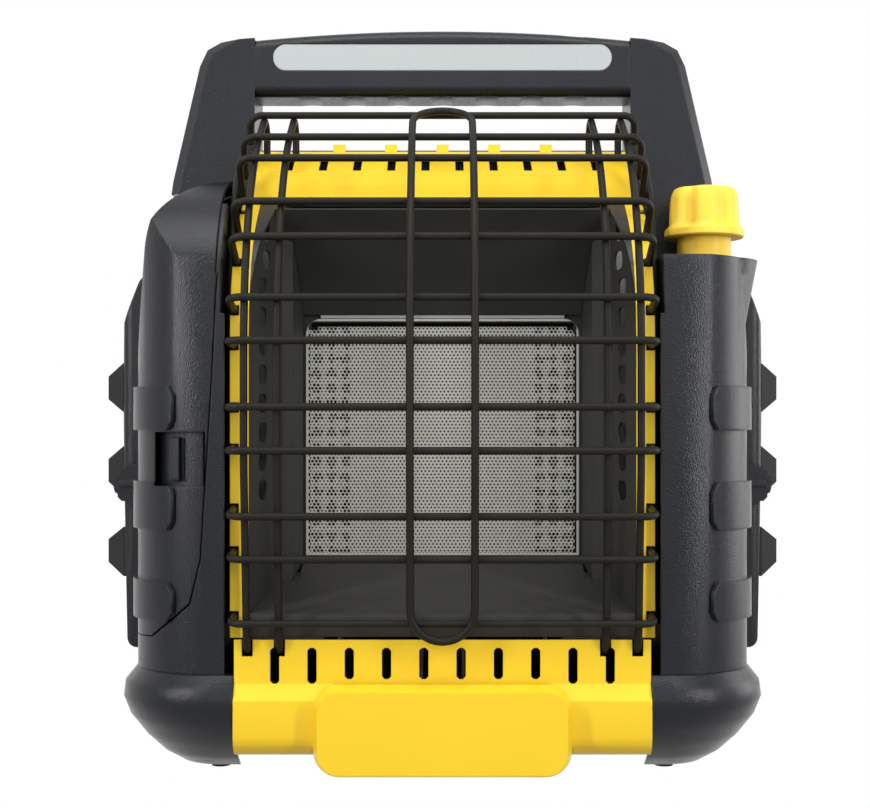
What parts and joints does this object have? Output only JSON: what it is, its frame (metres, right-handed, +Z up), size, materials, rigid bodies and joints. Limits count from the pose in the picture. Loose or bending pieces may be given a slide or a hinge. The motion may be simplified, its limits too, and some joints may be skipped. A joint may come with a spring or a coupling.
{
  "type": "portable propane heater",
  "caption": "Portable radiant gas heater with a perforated burner screen behind a curved wire guard, a carrying handle with a lamp, a control knob and hinged cylinder bays.",
  "frame": {"origin": "on the floor under the middle of the heater's bounding box", "axes": "+X to the viewer's right, +Y to the heater's rear, +Z up; the burner faces -Y"},
  "size_m": [0.3972, 0.2905, 0.4125],
  "materials": {
    "casing_plastic": "satin charcoal, fine texture",
    "dark_plastic": "matt black",
    "yellow_sheet": "satin yellow paint",
    "yellow_plastic": "satin yellow",
    "dark_sheet": "matt dark grey heat-proof paint",
    "screen_steel": "perforated, dull",
    "plain_steel": "zinc-plated",
    "ceramic_tile": "unglazed",
    "brass": "machined",
    "cast_alloy": "as cast",
    "lens": "translucent white",
    "circuit": "white board",
    "rubber": "matt"
  },
  "bodies": {
    "housing": {"base_pan": "plain_steel", "battery_column": "casing_plastic", "battery_contacts": "plain_steel", "battery_holder": "dark_plastic", "bay_door_pins_left": "plain_steel", "bay_door_pins_right": "plain_steel", "bay_keeper_left": "casing_plastic", "bay_keeper_right": "casing_plastic", "bay_liner_left": "plain_steel", "bay_liner_right": "plain_steel", "bumper_left": "casing_plastic", "bumper_right": "casing_plastic", "burner_plenum": "plain_steel", "burner_screen": "screen_steel", "burner_tile": "ceramic_tile", "control_valve": "brass", "front_frame": "yellow_sheet", "front_panel": "yellow_sheet", "gas_jet": "brass", "gas_manifold": "plain_steel", "guard_cross_wires": "dark_sheet", "guard_loop": "dark_sheet", "guard_side_rails": "dark_sheet", "guard_uprights": "dark_sheet", "handle_arm_left": "casing_plastic", "handle_arm_right": "casing_plastic", "handle_bar": "casing_plastic", "heat_shield": "dark_sheet", "hood": "yellow_sheet", "jet_bracket": "plain_steel", "knob_well": "casing_plastic", "lamp_lens": "lens", "led_board": "circuit", "left_casing": "casing_plastic", "left_door_pin": "plain_steel", "lower_lip": "dark_sheet", "rear_casing": "casing_plastic", "recess_liner": "dark_sheet", "reflector_dish": "dark_sheet", "right_casing": "casing_plastic", "rubber_feet": "rubber", "screen_top_rail": "screen_steel", "valve_column": "casing_plastic", "venturi_tube": "cast_alloy"},
    "valve_spindle": {"valve_stem": "plain_steel", "valve_spring": "plain_steel"},
    "knob": {"control_knob": "yellow_plastic", "push_collar": "dark_plastic"},
    "battery_door": {"left_door": "casing_plastic"},
    "door_latch": {"door_latch": "casing_plastic"},
    "bay_door_left": {"bay_door_left": "casing_plastic", "bay_pads_left": "rubber"},
    "bay_door_right": {"bay_door_right": "casing_plastic", "bay_pads_right": "rubber"},
    "bay_latch_left": {"bay_latch_left": "casing_plastic"},
    "bay_latch_right": {"bay_latch_right": "casing_plastic"},
    "light_switch": {"light_switch_button": "dark_plastic"},
    "regulator_left": {"regulator_left": "cast_alloy"},
    "regulator_right": {"regulator_right": "cast_alloy"}
  },
  "joints": [
    {"name": "knob_turn", "type": "hinge", "parent": "housing", "child": "valve_spindle", "pos_m": [0.142, -0.074, 0.26], "axis": [0, 0, 1], "range_deg": [0, 270]},
    {"name": "knob_push", "type": "slide", "parent": "valve_spindle", "child": "knob", "axis": [0, 0, -1], "range_m": [0, 0.004], "stiffness_N_per_m": 1200, "springref_m": -0.003, "deforming": ["valve_spring"]},
    {"name": "battery_door_swing", "type": "hinge", "parent": "housing", "child": "battery_door", "pos_m": [-0.162, -0.024, 0.17], "axis": [0, 0, -1], "range_deg": [0, 75]},
    {"name": "door_latch_turn", "type": "hinge", "parent": "battery_door", "child": "door_latch", "pos_m": [-0.117, -0.071, 0.165], "axis": [0, 0, 1], "range_deg": [0, 5.5]},
    {"name": "bay_door_left_swing", "type": "hinge", "parent": "housing", "child": "bay_door_left", "pos_m": [-0.17, 0.122, 0.162], "axis": [0, 0, -1], "range_deg": [0, 100]},
    {"name": "bay_door_right_swing", "type": "hinge", "parent": "housing", "child": "bay_door_right", "pos_m": [0.17, 0.122, 0.162], "axis": [0, 0, 1], "range_deg": [0, 100]},
    {"name": "bay_latch_left_turn", "type": "hinge", "parent": "bay_door_left", "child": "bay_latch_left", "pos_m": [-0.1785, -0.017, 0.1487], "axis": [0, 1, 0], "range_deg": [0, 90]},
    {"name": "bay_latch_right_turn", "type": "hinge", "parent": "bay_door_right", "child": "bay_latch_right", "pos_m": [0.1785, -0.017, 0.1487], "axis": [0, -1, 0], "range_deg": [0, 90]},
    {"name": "light_switch_push", "type": "slide", "parent": "housing", "child": "light_switch", "axis": [0, -1, 0], "range_m": [0, 0.002], "stiffness_N_per_m": 800, "springref_m": -0.001},
    {"name": "regulator_left_swing", "type": "hinge", "parent": "housing", "child": "regulator_left", "pos_m": [-0.124, 0.052, 0.284], "axis": [0, 1, 0], "range_deg": [0, 35]},
    {"name": "regulator_right_swing", "type": "hinge", "parent": "housing", "child": "regulator_right", "pos_m": [0.124, 0.052, 0.284], "axis": [0, -1, 0], "range_deg": [0, 35]}
  ]
}
